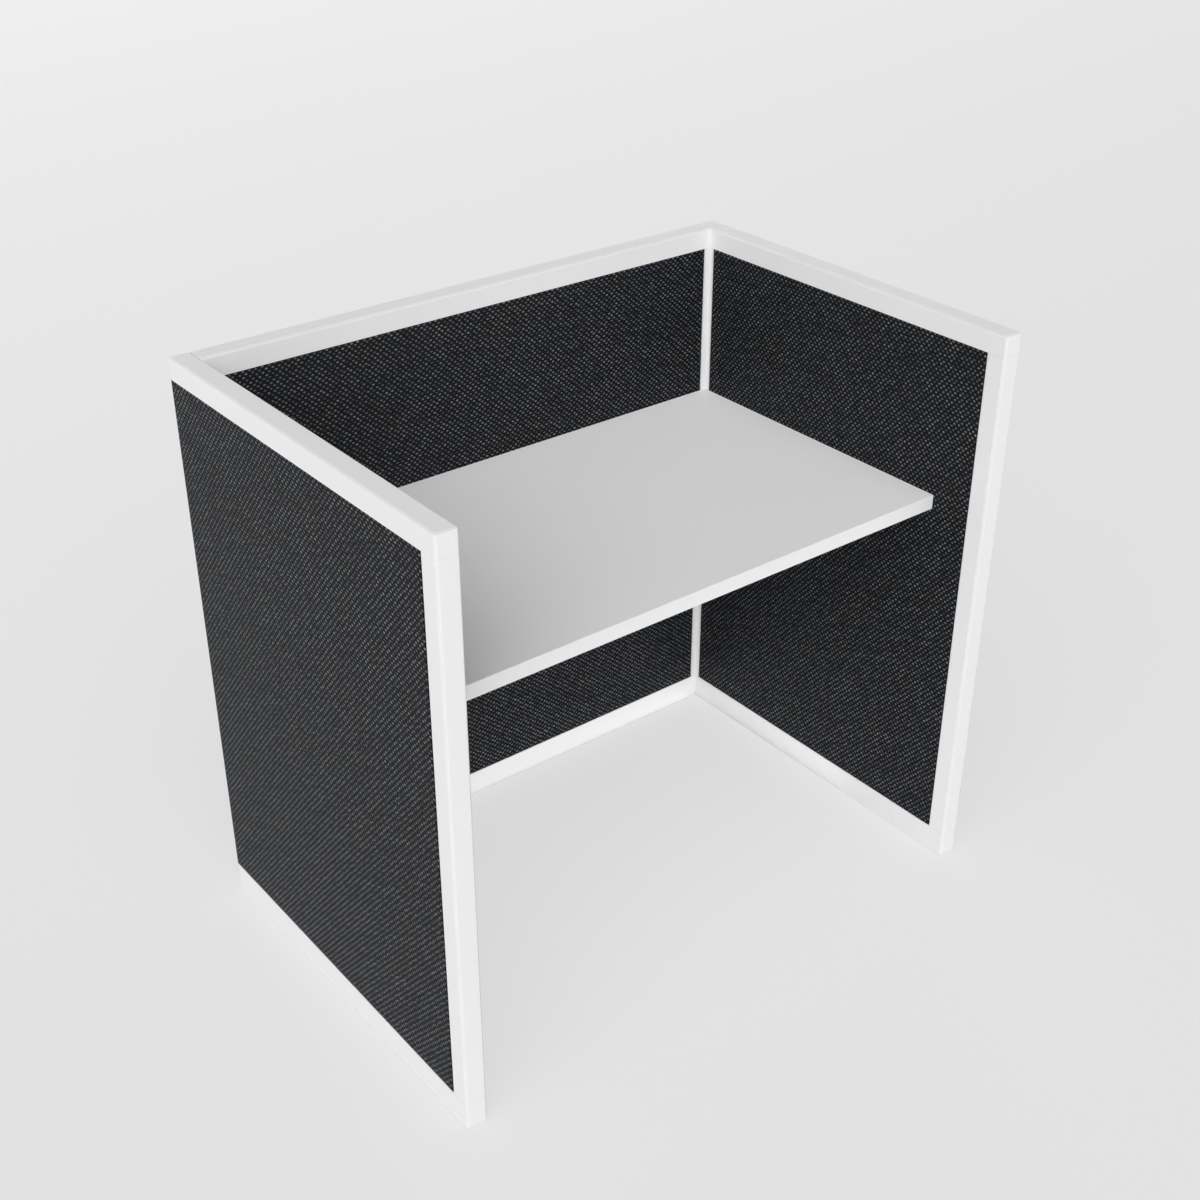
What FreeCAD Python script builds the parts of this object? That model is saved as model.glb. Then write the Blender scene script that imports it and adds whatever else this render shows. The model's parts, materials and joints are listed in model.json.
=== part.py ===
import FreeCAD, Part
import math
import os
import re

# A cubicle workstation: two side panels, a back panel between them and a worktop hung on brackets.
# Millimetres, +Z up. The origin is the centre of the footprint on the floor, and the open front faces -Y.

# Driving sizes
SIZES = {
    # Whole workstation
    "overall_width": 1200,
    "overall_depth": 800,
    "overall_height": 1120,
    # Panel frames, of rounded tube with closed ends
    "panel_thickness": 40,
    "top_rail_height": 40,
    "bottom_rail_height": 56,
    "front_stile_width": 40,
    "rear_stile_reveal": 10,
    "back_stile_face": 13,
    "back_stile_rib": 27,
    "edge_radius": 4.5,
    "seam_radius": 0.6,
    "tube_wall": 2,
    "end_wall": 6,
    # Tiles, each a board in a stretched fabric cover, and the batt between them
    "board_thickness": 6,
    "fabric_thickness": 1,
    "tile_gap": 0.5,
    "core_side_gap": 14,
    # Bolts that hold the stiles to the rails
    "frame_bolt": 5,
    "frame_bolt_head": 8.5,
    "frame_bolt_head_height": 5,
    "frame_bolt_pitch": 14,
    "nut_plate_width": 14,
    "nut_plate_thickness": 5,
    "nut_plate_gap": 1,
    "access_hole": 16,
    "access_height": 25,
    # Cross rails behind the worktop brackets
    "cross_rail_height": 40,
    "ear_height": 15,
    "ear_thickness": 3,
    "ear_screw": 4.2,
    "ear_screw_head": 8,
    "ear_screw_head_height": 3,
    "ear_screw_reach": 7,
    # Clips between the tiles and the stiles
    "clip_depth": 12,
    "clip_height": 30,
    "clip_inset": 100,
    "clip_stud": 6,
    "clip_stud_length": 4,
    "clip_peg_length": 6,
    "clip_clearance": 0.2,
    # Worktop
    "worktop_height": 774,
    "worktop_thickness": 28,
    "worktop_setback": 120,
    "worktop_gap": 1,
    "band_thickness": 1.5,
    "band_radius": 0.6,
    # Brackets under the worktop
    "bracket_leg": 40,
    "bracket_thickness": 3,
    "bracket_inset": 80,
    "bracket_bolt": 6,
    "bracket_bolt_head": 11,
    "bracket_bolt_head_height": 3.3,
    "bracket_bolt_drop": 22,
    "rivet_nut": 9,
    "rivet_nut_length": 14,
    "wood_screw": 4.5,
    "wood_screw_head": 9,
    "wood_screw_head_height": 2.5,
    "wood_screw_depth": 18,
    "wood_screw_inset": 15,
    "key_socket": 4,
    "key_socket_depth": 2,
    # Bolts that hold the back panel to the side panels
    "corner_bolt": 6,
    "corner_bolt_head": 10,
    "corner_bolt_head_height": 6,
    "corner_bolt_inset": 200,
    "hole_clearance": 0.1,
    # Levelling feet in the bottom rails
    "foot_inset": 70,
    "foot_recess": 1,
    "foot_pad": 24,
    "foot_pad_thickness": 3.5,
    "foot_pad_bevel": 1.5,
    "foot_hex": 13,
    "foot_hex_height": 4,
    "foot_stem": 10,
    "foot_stem_length": 40,
    "foot_clearance": 0.5,
    "foot_thread_length": 20,
    "foot_thread_clearance": 0.3,
    "socket_wall": 4,
    "socket_fit": 0.2,
}

BOX_SIZES = ("Length", "Width", "Height")
PLACES = ("Placement.Base.x", "Placement.Base.y", "Placement.Base.z")
ALONG_AXIS = (
    FreeCAD.Rotation(FreeCAD.Vector(0, 1, 0), 90),
    FreeCAD.Rotation(FreeCAD.Vector(1, 0, 0), -90),
    FreeCAD.Rotation(),
)
TOUCH = 1e-6
HEXAGON_SIDE_COUNT = 6

doc = FreeCAD.newDocument("cubicle_workstation")
sheet = doc.addObject("Spreadsheet::Sheet", "Sizes")
for row, (alias, value) in enumerate(SIZES.items(), start=1):
    sheet.set(f"A{row}", alias)
    sheet.set(f"B{row}", str(value))
    sheet.setAlias(f"B{row}", alias)
doc.recompute()

nodes = {}


# Solids tied to the sheet


def on_sheet(formula):
    """A formula that reads the sheet. Each word of it is a size's name."""
    return re.sub(r"\b(?!sqrt\b)[a-z]\w+", r"Sizes.\g<0>", formula)


def bind(feature, name, formula):
    """Tie a property to the sheet."""
    feature.setExpression(name, on_sheet(formula))


def lies_in(edge, planes):
    """Whether an edge lies in one of some planes, each square to an axis at a formula's place."""
    for axis, formula in planes:
        place = sheet.evalExpression(on_sheet(formula))
        if all(math.isclose(getattr(corner, axis), place, abs_tol=TOUCH) for corner in edge.Vertexes):
            return True
    return False


def set_box(feature, spans):
    """A box from the low to the high formula of each axis."""
    for size, place, (low, high) in zip(BOX_SIZES, PLACES, spans):
        bind(feature, size, f"({high}) - ({low})")
        bind(feature, place, low)


def set_rod(feature, spans, diameter, radius="Radius"):
    """A round or six-sided bar along the one axis that has a low and a high formula."""
    axis = [isinstance(span, tuple) for span in spans].index(True)
    low, high = spans[axis]
    feature.Placement = FreeCAD.Placement(FreeCAD.Vector(), ALONG_AXIS[axis])
    bind(feature, "Height", f"({high}) - ({low})")
    bind(feature, radius, f"({diameter}) / 2")
    for place, span in zip(PLACES, spans):
        bind(feature, place, low if isinstance(span, tuple) else span)


class Piece:
    """A node of one solid, built up from bars and cut with holes."""

    def __init__(self, name):
        self.body = doc.addObject("PartDesign::Body", name)
        self.body.Label = name
        nodes[name] = self.body

    def feature(self, kind):
        return self.body.newObject(f"PartDesign::{kind}", f"{self.body.Name}_{kind}")

    def add_box(self, spans):
        set_box(self.feature("AdditiveBox"), spans)

    def cut_box(self, spans):
        set_box(self.feature("SubtractiveBox"), spans)

    def add_rod(self, spans, diameter):
        set_rod(self.feature("AdditiveCylinder"), spans, diameter)

    def cut_rod(self, spans, diameter):
        set_rod(self.feature("SubtractiveCylinder"), spans, diameter)

    def add_hexagon(self, spans, across_flats):
        hexagon = self.feature("AdditivePrism")
        hexagon.Polygon = HEXAGON_SIDE_COUNT
        set_rod(hexagon, spans, f"2 * {across_flats} / sqrt(3)", "Circumradius")

    def round_edges(self, radius, seams=()):
        """Round every edge that the piece has so far. Those in a seam are only eased, after the rest."""
        self.fillet(radius, lambda edge: not lies_in(edge, seams))
        if seams:
            self.fillet("seam_radius", lambda edge: lies_in(edge, seams))

    def fillet(self, radius, chosen):
        doc.recompute()
        base = self.body.Tip
        numbers = [number for number, edge in enumerate(base.Shape.Edges, start=1) if chosen(edge)]
        rounding = self.feature("Fillet")
        rounding.Base = (base, [f"Edge{number}" for number in numbers])
        bind(rounding, "Radius", radius)


def box(name, spans):
    feature = doc.addObject("Part::Box", name)
    set_box(feature, spans)
    return feature


def rod(name, spans, diameter):
    feature = doc.addObject("Part::Cylinder", name)
    set_rod(feature, spans, diameter)
    return feature


def fuse(name, features):
    joined = doc.addObject("Part::MultiFuse", name)
    joined.Shapes = features
    return joined


def cut(name, base, tools):
    """The base with every tool taken out of it."""
    for tool in tools:
        result = doc.addObject("Part::Cut", name)
        result.Base = base
        result.Tool = tool
        base = result
    return base


def group(name, features):
    """Like pieces that share a node as separate solids."""
    together = doc.addObject("Part::Compound", name)
    together.Label = name
    together.Links = features
    nodes[name] = together


def bolt(shank, head, diameter, head_diameter, socket=None):
    """A headed fastener, with a key socket where its head shows."""
    whole = fuse("bolt", [rod("shank", shank, diameter), rod("head", head, head_diameter)])
    if socket is None:
        return whole
    key = doc.addObject("Part::Prism", "key")
    key.Polygon = HEXAGON_SIDE_COUNT
    set_rod(key, socket, "2 * key_socket / sqrt(3)", "Circumradius")
    return cut("keyed_bolt", whole, [key])


def rivet_nut(spans, thread):
    """A round threaded sleeve."""
    sleeve = rod("sleeve", spans, "rivet_nut")
    return cut("rivet_nut", sleeve, [rod("thread", spans, clear_hole(thread))])


def clear_hole(diameter):
    return f"{diameter} + 2 * hole_clearance"


# Places in the workstation, as formulas of the sizes


class Line:
    """A line of measurement: where it starts and which way distances run from it."""

    def __init__(self, start, sign):
        self.start = start
        self.sign = sign

    def at(self, distance):
        return f"({self.start} {self.sign} ({distance}))"

    def span(self, near, far):
        low, high = (near, far) if self.sign == "+" else (far, near)
        return (self.at(low), self.at(high))


def inset(span, margin):
    low, high = span
    return (f"({low}) + {margin}", f"({high}) - {margin}")


def about(middle, length):
    return (f"({middle}) - ({length}) / 2", f"({middle}) + ({length}) / 2")


class Stile:
    """An upright of a panel. Distances run from its wall in the bay, into the bay."""

    def __init__(self, name, wall, width, depth, hollow, rib=None):
        self.name = name
        self.wall = wall
        self.width = width
        self.depth = depth
        self.hollow = hollow
        self.rib = rib

    def bolt_places(self):
        middle = self.wall.at(f"-{self.width} / 2")
        return about(middle, "frame_bolt_pitch")


class Panel:
    """An upright panel. Spans run along it, in depth from its outer face, and up from the floor."""

    def __init__(self, name, outside, ends, stiles, bracket):
        self.name = name
        self.outside = outside
        self.ends = ends
        self.stiles = stiles
        self.bracket = bracket
        self.bay = (stiles[0].wall.at("0"), stiles[1].wall.at("0"))

    def spans(self, along, depth, up):
        across = self.outside.span(*depth) if isinstance(depth, tuple) else self.outside.at(depth)
        return (along, across, up) if self.name == "back" else (across, along, up)

    def bracket_places(self, shares):
        """Places that divide the bracket's length into equal shares."""
        low, high = self.bracket
        return [f"({low}) + (({high}) - ({low})) * {share} / {BRACKET_SHARES}" for share in shares]

    def foot_places(self):
        return inset(self.ends, "foot_inset")

    def end_seams(self):
        """The back panel's ends butt against the side panels. Theirs are free."""
        return [("X", end) for end in self.ends] if self.name == "back" else []


STILE_BASE = "bottom_rail_height"
STILE_TOP = "(overall_height - top_rail_height)"
STILE_UP = (STILE_BASE, STILE_TOP)
TILE_UP = (STILE_BASE, f"{STILE_TOP} - tile_gap")
BASE_SEAM = Line(STILE_BASE, "+")
TOP_SEAM = Line(STILE_TOP, "-")
SEAMS = (BASE_SEAM, TOP_SEAM)
STILE_SEAMS = [("Z", seam.start) for seam in SEAMS]

TILE = "(board_thickness + fabric_thickness)"
CORE_OUTER = TILE
CORE_INNER = f"(panel_thickness - {TILE})"
CORE = (CORE_OUTER, CORE_INNER)
FULL = ("0", "panel_thickness")
BEHIND_TILE = (TILE, "panel_thickness")
MIDDLE = "(panel_thickness / 2)"

BAY_SIDE = "(overall_width / 2 - panel_thickness)"
BAY_BACK = "(overall_depth / 2 - panel_thickness)"
WORKTOP_FRONT = "(worktop_setback - overall_depth / 2)"
WORKTOP_UNDER = "(worktop_height - worktop_thickness)"
WOOD_SCREW_DEPTH = "panel_thickness + bracket_leg - wood_screw_inset"
BRACKET_SHARES = 6
BRACKET_BOLT_SHARES = (1, 3, 5)
WOOD_SCREW_SHARES = (2, 4)

CROSS = f"({WORKTOP_UNDER} - bracket_bolt_drop)"
CROSS_UP = about(CROSS, "cross_rail_height")
EARS_UP = about(CROSS, "cross_rail_height + 2 * ear_height")
EAR_SCREW_UP = about(CROSS, "cross_rail_height + ear_height")
CLIP_UP = (
    BASE_SEAM.at("clip_inset"),
    f"{CROSS} - clip_inset",
    f"{CROSS} + clip_inset",
    TOP_SEAM.at("clip_inset"),
)
CORNER_BOLT_UP = (BASE_SEAM.at("corner_bolt_inset"), TOP_SEAM.at("corner_bolt_inset"))

FOOT_BEVEL_TOP = "(foot_recess + foot_pad_bevel)"
FOOT_PAD_TOP = f"({FOOT_BEVEL_TOP} + foot_pad_thickness)"
FOOT_HEX_TOP = f"({FOOT_PAD_TOP} + foot_hex_height)"
FOOT_HOLE = "(foot_pad + 2 * foot_clearance)"
SOCKET_STEP = f"({FOOT_HEX_TOP} + foot_clearance)"
SOCKET_TOP = f"({SOCKET_STEP} + foot_thread_length)"

THROUGH_WALL = ("-2 * tube_wall", "tube_wall")


def side_panel(name, outside):
    front = Line("(front_stile_width - overall_depth / 2)", "+")
    rear = Line(f"({BAY_BACK} - rear_stile_reveal)", "-")
    rear_width = "(panel_thickness + rear_stile_reveal)"
    return Panel(
        name,
        outside,
        ("-overall_depth / 2", "overall_depth / 2"),
        (
            Stile(f"{name}_front_stile", front, "front_stile_width", FULL, FULL),
            Stile(f"{name}_rear_stile", rear, rear_width, BEHIND_TILE, BEHIND_TILE),
        ),
        (f"{WORKTOP_FRONT} + bracket_inset", f"{BAY_BACK} - bracket_inset"),
    )


def back_panel():
    width = "(back_stile_face + back_stile_rib)"
    left = Line(f"({width} - {BAY_SIDE})", "+")
    right = Line(f"({BAY_SIDE} - {width})", "-")
    return Panel(
        "back",
        Line("overall_depth / 2", "-"),
        (f"-{BAY_SIDE}", BAY_SIDE),
        (
            Stile("back_left_stile", left, width, FULL, CORE, "back_stile_rib"),
            Stile("back_right_stile", right, width, FULL, CORE, "back_stile_rib"),
        ),
        (f"bracket_inset - {BAY_SIDE}", f"{BAY_SIDE} - bracket_inset"),
    )


# Panel frames


def make_rail(panel, name, up, seam):
    """A tube with closed ends, bored where the stiles are bolted to it."""
    rail = Piece(f"{panel.name}_{name}")
    rail.add_box(panel.spans(panel.ends, FULL, up))
    rail.round_edges("edge_radius", [("Z", seam.start), *panel.end_seams()])
    rail.cut_box(panel.spans(inset(panel.ends, "end_wall"), inset(FULL, "tube_wall"), inset(up, "tube_wall")))
    for stile in panel.stiles:
        for place in stile.bolt_places():
            rail.cut_rod(panel.spans(place, MIDDLE, seam.span(*THROUGH_WALL)), clear_hole("frame_bolt"))
    return rail


def make_rails(panel):
    make_rail(panel, "top_rail", (STILE_TOP, "overall_height"), TOP_SEAM)
    rail = make_rail(panel, "bottom_rail", ("0", STILE_BASE), BASE_SEAM)
    for place in panel.foot_places():
        rail.cut_rod(panel.spans(place, MIDDLE, ("-tube_wall", "2 * tube_wall")), FOOT_HOLE)


def make_stile(panel, stile):
    """An upright with closed ends. The wall in the bay has the holes for keys, clips and screws."""
    piece = Piece(stile.name)
    face_start = "0" if stile.rib is None else f"-{stile.rib}"
    piece.add_box(panel.spans(stile.wall.span(f"-{stile.width}", face_start), stile.depth, STILE_UP))
    piece.round_edges("edge_radius", [*STILE_SEAMS, *panel.end_seams()])
    if stile.rib is not None:
        piece.add_box(panel.spans(stile.wall.span(f"-({stile.rib} + edge_radius)", "0"), CORE, STILE_UP))
    hollow = stile.wall.span(f"-({stile.width} - tube_wall)", "-tube_wall")
    piece.cut_box(panel.spans(hollow, inset(stile.hollow, "tube_wall"), inset(STILE_UP, "end_wall")))
    bay_wall = stile.wall.span(*THROUGH_WALL)
    for seam in SEAMS:
        end_plate = seam.span("-tube_wall", "end_wall + tube_wall")
        for place in stile.bolt_places():
            piece.cut_rod(panel.spans(place, MIDDLE, end_plate), clear_hole("frame_bolt"))
        piece.cut_rod(panel.spans(bay_wall, MIDDLE, seam.at("end_wall + access_height")), "access_hole")
    for up in CLIP_UP:
        piece.cut_rod(panel.spans(bay_wall, MIDDLE, up), "clip_stud + 2 * clip_clearance")
    for up in EAR_SCREW_UP:
        piece.cut_rod(panel.spans(bay_wall, MIDDLE, up), clear_hole("ear_screw"))
    return piece


def make_stiles(panel):
    low, high = (make_stile(panel, stile) for stile in panel.stiles)
    if panel.name == "back":
        for piece, stile in zip((low, high), panel.stiles):
            end_wall = stile.wall.span(f"-({stile.width} + tube_wall)", f"-({stile.width} - 2 * tube_wall)")
            for up in CORNER_BOLT_UP:
                piece.cut_rod(panel.spans(end_wall, MIDDLE, up), clear_hole("corner_bolt"))
                piece.cut_rod(panel.spans(stile.wall.span(*THROUGH_WALL), MIDDLE, up), "access_hole")
    else:
        inner_wall = ("panel_thickness - 2 * tube_wall", "panel_thickness + tube_wall")
        for up in CORNER_BOLT_UP:
            high.cut_rod(panel.spans(f"{BAY_BACK} + {MIDDLE}", inner_wall, up), clear_hole("rivet_nut"))


def make_frame_bolts(panel):
    """Two bolts through each stile's end into a nut plate inside the rail."""
    plates = []
    bolts = []
    for stile in panel.stiles:
        along = inset(inset(stile.wall.span(f"-{stile.width}", "0"), "end_wall"), "nut_plate_gap")
        depth = about(MIDDLE, "nut_plate_width")
        for seam in SEAMS:
            up = seam.span("-(tube_wall + nut_plate_thickness)", "-tube_wall")
            shank_up = seam.span("-(tube_wall + nut_plate_thickness)", "end_wall")
            head_up = seam.span("end_wall", "end_wall + frame_bolt_head_height")
            holes = []
            for place in stile.bolt_places():
                shank = panel.spans(place, MIDDLE, shank_up)
                head = panel.spans(place, MIDDLE, head_up)
                bolts.append(bolt(shank, head, "frame_bolt", "frame_bolt_head"))
                holes.append(rod("hole", panel.spans(place, MIDDLE, up), clear_hole("frame_bolt")))
            plates.append(cut("nut_plate", box("plate", panel.spans(along, depth, up)), holes))
    group(f"{panel.name}_nut_plates", plates)
    group(f"{panel.name}_frame_bolts", bolts)


def make_cross_rail(panel):
    """A tube across the bay that takes the bracket's bolts, with an eared plate at each end."""
    rail = Piece(f"{panel.name}_cross_rail")
    rail.add_box(panel.spans(panel.bay, CORE, CROSS_UP))
    for stile in panel.stiles:
        rail.add_box(panel.spans(stile.wall.span("0", "ear_thickness"), CORE, EARS_UP))
    hollow_along = inset(panel.bay, "ear_thickness")
    rail.cut_box(panel.spans(hollow_along, inset(CORE, "tube_wall"), inset(CROSS_UP, "tube_wall")))
    screws = []
    for stile in panel.stiles:
        for up in EAR_SCREW_UP:
            ear = stile.wall.span("-ear_thickness", "2 * ear_thickness")
            rail.cut_rod(panel.spans(ear, MIDDLE, up), clear_hole("ear_screw"))
            shank = panel.spans(stile.wall.span("-ear_screw_reach", "ear_thickness"), MIDDLE, up)
            head_along = stile.wall.span("ear_thickness", "ear_thickness + ear_screw_head_height")
            head = panel.spans(head_along, MIDDLE, up)
            screws.append(bolt(shank, head, "ear_screw", "ear_screw_head"))
    inner_wall = (f"{CORE_INNER} - 2 * tube_wall", f"{CORE_INNER} + tube_wall")
    for place in panel.bracket_places(BRACKET_BOLT_SHARES):
        rail.cut_rod(panel.spans(place, inner_wall, CROSS), clear_hole("rivet_nut"))
    group(f"{panel.name}_cross_rail_screws", screws)


# Tiles and what holds them


def make_tile(panel, face, along):
    """A board in a fabric cover that wraps its edges, flush with the frame's face."""
    if face == "outer":
        cover_depth = ("0", CORE_OUTER)
        board_depth = ("fabric_thickness", CORE_OUTER)
        open_depth = ("fabric_thickness", f"{CORE_OUTER} + fabric_thickness")
        stud_depth = (f"{CORE_OUTER} - clip_stud_length - clip_clearance", f"{CORE_OUTER} + fabric_thickness")
    else:
        cover_depth = (CORE_INNER, "panel_thickness")
        board_depth = (CORE_INNER, "panel_thickness - fabric_thickness")
        open_depth = (f"{CORE_INNER} - fabric_thickness", "panel_thickness - fabric_thickness")
        stud_depth = (f"{CORE_INNER} - fabric_thickness", f"{CORE_INNER} + clip_stud_length + clip_clearance")
    board_along = inset(along, "fabric_thickness")
    board_up = inset(TILE_UP, "fabric_thickness")
    cover = Piece(f"{panel.name}_{face}_fabric")
    cover.add_box(panel.spans(along, cover_depth, TILE_UP))
    cover.cut_box(panel.spans(board_along, open_depth, board_up))
    board = Piece(f"{panel.name}_{face}_board")
    board.add_box(panel.spans(board_along, board_depth, board_up))
    for stile in panel.stiles:
        for up in CLIP_UP:
            stud = panel.spans(stile.wall.at("clip_depth / 2"), stud_depth, up)
            board.cut_rod(stud, "clip_stud + 2 * clip_clearance")
    if face == "inner":
        bolt_depth = (f"{CORE_INNER} - tube_wall", "panel_thickness + tube_wall")
        for place in panel.bracket_places(BRACKET_BOLT_SHARES):
            for piece in (cover, board):
                piece.cut_rod(panel.spans(place, bolt_depth, CROSS), clear_hole("bracket_bolt"))


def make_tiles(panel):
    """The outer tile of a side panel runs on over the rear stile to the end of the rails."""
    if panel.name == "back":
        inner = outer = inset(inset(panel.ends, "back_stile_face"), "tile_gap")
    else:
        inner = inset(panel.bay, "tile_gap")
        outer = (inner[0], panel.ends[1])
    make_tile(panel, "outer", outer)
    make_tile(panel, "inner", inner)


def make_clips(panel):
    """Each clip plugs into a stile and snaps a stud into the board on either side."""
    clips = []
    for stile in panel.stiles:
        for up in CLIP_UP:
            block = panel.spans(stile.wall.span("0", "clip_depth"), CORE, about(up, "clip_height"))
            peg = panel.spans(stile.wall.span("-clip_peg_length", "0"), MIDDLE, up)
            stud_place = stile.wall.at("clip_depth / 2")
            outer_stud = panel.spans(stud_place, (f"{CORE_OUTER} - clip_stud_length", CORE_OUTER), up)
            inner_stud = panel.spans(stud_place, (CORE_INNER, f"{CORE_INNER} + clip_stud_length"), up)
            studs = [rod("stud", spans, "clip_stud") for spans in (peg, outer_stud, inner_stud)]
            clips.append(fuse("clip", [box("block", block), *studs]))
    group(f"{panel.name}_tile_clips", clips)


def make_core(panel):
    """The batt below the cross rail, and the batt that stands on it."""
    along = inset(panel.bay, "core_side_gap")
    lower = box("lower_batt", panel.spans(along, CORE, (STILE_BASE, CROSS_UP[0])))
    upper = box("upper_batt", panel.spans(along, CORE, (CROSS_UP[1], TILE_UP[1])))
    group(f"{panel.name}_acoustic_core", [lower, upper])


# Worktop and its brackets


def make_worktop(panels):
    across = (f"worktop_gap - {BAY_SIDE}", f"{BAY_SIDE} - worktop_gap")
    up = (WORKTOP_UNDER, "worktop_height")
    band_back = f"{WORKTOP_FRONT} + band_thickness"
    board = Piece("worktop_board")
    board.add_box((across, (band_back, f"{BAY_BACK} - worktop_gap"), up))
    pilot = Line(WORKTOP_UNDER, "+").span("-bracket_thickness", "wood_screw_depth + hole_clearance")
    for panel in panels:
        for place in panel.bracket_places(WOOD_SCREW_SHARES):
            board.cut_rod(panel.spans(place, WOOD_SCREW_DEPTH, pilot), clear_hole("wood_screw"))
    band = Piece("worktop_front_band")
    band.add_box((across, (WORKTOP_FRONT, band_back), up))
    band.round_edges("band_radius")


def make_bracket(panel, name):
    """An angle with one leg bolted to the panel and one screwed under the worktop."""
    under = Line(WORKTOP_UNDER, "-")
    bracket = Piece(name)
    wall_leg = ("panel_thickness", "panel_thickness + bracket_thickness")
    top_leg = ("panel_thickness", "panel_thickness + bracket_leg")
    bracket.add_box(panel.spans(panel.bracket, wall_leg, under.span("0", "bracket_leg")))
    bracket.add_box(panel.spans(panel.bracket, top_leg, under.span("0", "bracket_thickness")))
    bolt_depth = ("panel_thickness - bracket_thickness", "panel_thickness + 2 * bracket_thickness")
    for place in panel.bracket_places(BRACKET_BOLT_SHARES):
        bracket.cut_rod(panel.spans(place, bolt_depth, CROSS), clear_hole("bracket_bolt"))
    screw_up = under.span("-bracket_thickness", "2 * bracket_thickness")
    for place in panel.bracket_places(WOOD_SCREW_SHARES):
        bracket.cut_rod(panel.spans(place, WOOD_SCREW_DEPTH, screw_up), clear_hole("wood_screw"))


def make_bracket_fasteners(panels):
    under = Line(WORKTOP_UNDER, "-")
    seat = "panel_thickness + bracket_thickness"
    top = f"{seat} + bracket_bolt_head_height"
    nut_depth = (f"{CORE_INNER} - rivet_nut_length", CORE_INNER)
    screw_top = "bracket_thickness + wood_screw_head_height"
    bolts = []
    nuts = []
    screws = []
    for panel in panels:
        for place in panel.bracket_places(BRACKET_BOLT_SHARES):
            shank = panel.spans(place, (nut_depth[0], seat), CROSS)
            head = panel.spans(place, (seat, top), CROSS)
            key = panel.spans(place, (f"{top} - key_socket_depth", top), CROSS)
            bolts.append(bolt(shank, head, "bracket_bolt", "bracket_bolt_head", key))
            nuts.append(rivet_nut(panel.spans(place, nut_depth, CROSS), "bracket_bolt"))
        for place in panel.bracket_places(WOOD_SCREW_SHARES):
            shank_up = under.span("-wood_screw_depth", "bracket_thickness")
            head_up = under.span("bracket_thickness", screw_top)
            key_up = under.span(f"{screw_top} - key_socket_depth", screw_top)
            shank, head, key = (
                panel.spans(place, WOOD_SCREW_DEPTH, up) for up in (shank_up, head_up, key_up)
            )
            screws.append(bolt(shank, head, "wood_screw", "wood_screw_head", key))
    group("bracket_bolts", bolts)
    group("bracket_rivet_nuts", nuts)
    group("worktop_wood_screws", screws)


# Corner joints and feet


def make_corner_fasteners(back):
    """Bolts from inside the back panel's stiles into sleeves in the rear stiles of the side panels."""
    bolts = []
    nuts = []
    for stile in back.stiles:
        end = Line(stile.wall.at(f"-{stile.width}"), stile.wall.sign)
        for up in CORNER_BOLT_UP:
            shank = back.spans(end.span("-rivet_nut_length", "tube_wall"), MIDDLE, up)
            head_along = end.span("tube_wall", "tube_wall + corner_bolt_head_height")
            head = back.spans(head_along, MIDDLE, up)
            bolts.append(bolt(shank, head, "corner_bolt", "corner_bolt_head"))
            nuts.append(rivet_nut(back.spans(end.span("-rivet_nut_length", "0"), MIDDLE, up), "corner_bolt"))
    group("corner_bolts", bolts)
    group("corner_rivet_nuts", nuts)


def make_foot(name, panel, place):
    """A pad with a bevelled rim, a spanner hexagon and a threaded stem."""
    foot = Piece(name)
    rim = foot.feature("AdditiveCone")
    bind(rim, "Radius1", "foot_pad / 2 - foot_pad_bevel")
    bind(rim, "Radius2", "foot_pad / 2")
    bind(rim, "Height", "foot_pad_bevel")
    for axis_place, formula in zip(PLACES, panel.spans(place, MIDDLE, "foot_recess")):
        bind(rim, axis_place, formula)
    stem_up = (FOOT_HEX_TOP, f"{FOOT_HEX_TOP} + foot_stem_length")
    foot.add_rod(panel.spans(place, MIDDLE, (FOOT_BEVEL_TOP, FOOT_PAD_TOP)), "foot_pad")
    foot.add_hexagon(panel.spans(place, MIDDLE, (FOOT_PAD_TOP, FOOT_HEX_TOP)), "foot_hex")
    foot.add_rod(panel.spans(place, MIDDLE, stem_up), "foot_stem")


def make_foot_socket(panel, place):
    """A block on the floor of the bottom rail, threaded for the stem and open below for the pad."""
    along = about(place, f"{FOOT_HOLE} + 2 * socket_wall")
    depth = inset(inset(FULL, "tube_wall"), "socket_fit")
    block = box("block", panel.spans(along, depth, ("tube_wall", SOCKET_TOP)))
    pad_room = rod("pad_room", panel.spans(place, MIDDLE, ("0", SOCKET_STEP)), FOOT_HOLE)
    thread_up = ("tube_wall", f"{SOCKET_TOP} + tube_wall")
    thread = rod("thread", panel.spans(place, MIDDLE, thread_up), "foot_stem + 2 * foot_thread_clearance")
    return cut("foot_socket", block, [pad_room, thread])


def make_feet(panels):
    sockets = []
    for panel in panels:
        names = ("left", "right") if panel.name == "back" else ("front", "rear")
        for end, place in zip(names, panel.foot_places()):
            make_foot(f"{panel.name}_{end}_foot", panel, place)
            sockets.append(make_foot_socket(panel, place))
    group("foot_sockets", sockets)


left = side_panel("left", Line("-overall_width / 2", "+"))
right = side_panel("right", Line("overall_width / 2", "-"))
back = back_panel()
panels = (left, right, back)
for panel in panels:
    make_rails(panel)
    make_stiles(panel)
    make_frame_bolts(panel)
    make_cross_rail(panel)
    make_tiles(panel)
    make_clips(panel)
    make_core(panel)
make_worktop(panels)
make_bracket(left, "left_worktop_bracket")
make_bracket(right, "right_worktop_bracket")
make_bracket(back, "rear_worktop_bracket")
make_bracket_fasteners(panels)
make_corner_fasteners(back)
make_feet(panels)

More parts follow.
